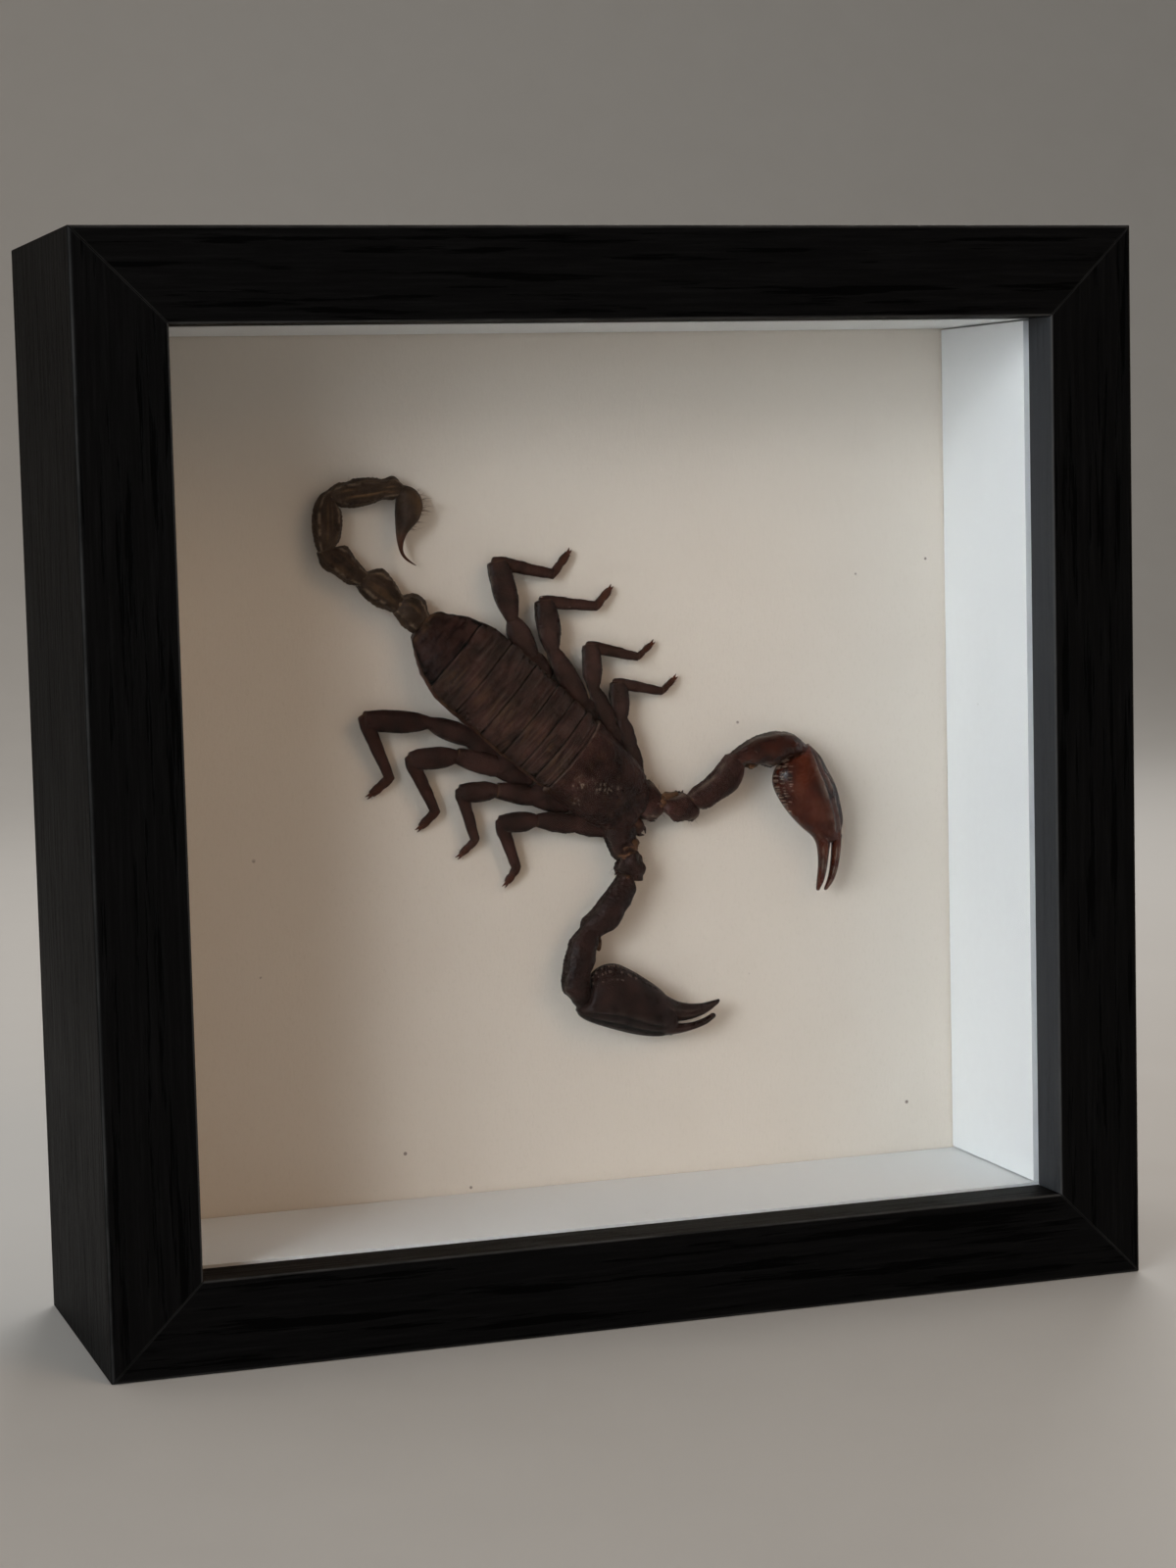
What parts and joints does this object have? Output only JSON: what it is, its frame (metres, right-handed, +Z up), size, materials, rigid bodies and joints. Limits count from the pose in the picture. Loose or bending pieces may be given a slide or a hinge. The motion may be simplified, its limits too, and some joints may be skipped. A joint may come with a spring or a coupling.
{
  "type": "framed scorpion specimen",
  "caption": "Deep black box frame with a glass front, white liner and cream board, showing a dry scorpion with its tail curled and claws spread; hangs on a wall.",
  "frame": {"origin": "on the wall plane, at the nail that carries the hanger on the back panel", "axes": "+X to the right seen from the front, +Y into the wall, +Z up"},
  "size_m": [0.2, 0.061, 0.2],
  "materials": {
    "rail_black": "satin black wood-grain wrap",
    "glass": "clear",
    "liner_white": "smooth white coating",
    "board_cream": "matt card",
    "panel_brown": "hardboard",
    "steel": "plated",
    "cuticle_dark": "dry satin cuticle",
    "cuticle_tail": "dry keeled cuticle",
    "cuticle_red": "glossy cuticle"
  },
  "bodies": {
    "root": {"rail_top": "rail_black", "rail_bottom": "rail_black", "rail_left": "rail_black", "rail_right": "rail_black", "glass": "glass", "liner_top": "liner_white", "liner_bottom": "liner_white", "liner_left": "liner_white", "liner_right": "liner_white", "board": "board_cream", "back_panel": "panel_brown", "tab_top_1": "steel", "tab_top_2": "steel", "tab_bottom_1": "steel", "tab_bottom_2": "steel", "tab_left_1": "steel", "tab_left_2": "steel", "tab_right_1": "steel", "tab_right_2": "steel", "hanger": "steel", "scorpion_body": "cuticle_dark", "scorpion_tail": "cuticle_tail", "scorpion_claw_left": "cuticle_red", "scorpion_claw_right": "cuticle_dark", "scorpion_leg_left_1": "cuticle_dark", "scorpion_leg_left_2": "cuticle_dark", "scorpion_leg_left_3": "cuticle_dark", "scorpion_leg_left_4": "cuticle_dark", "scorpion_leg_right_1": "cuticle_dark", "scorpion_leg_right_2": "cuticle_dark", "scorpion_leg_right_3": "cuticle_dark", "scorpion_leg_right_4": "cuticle_dark"}
  },
  "joints": []
}
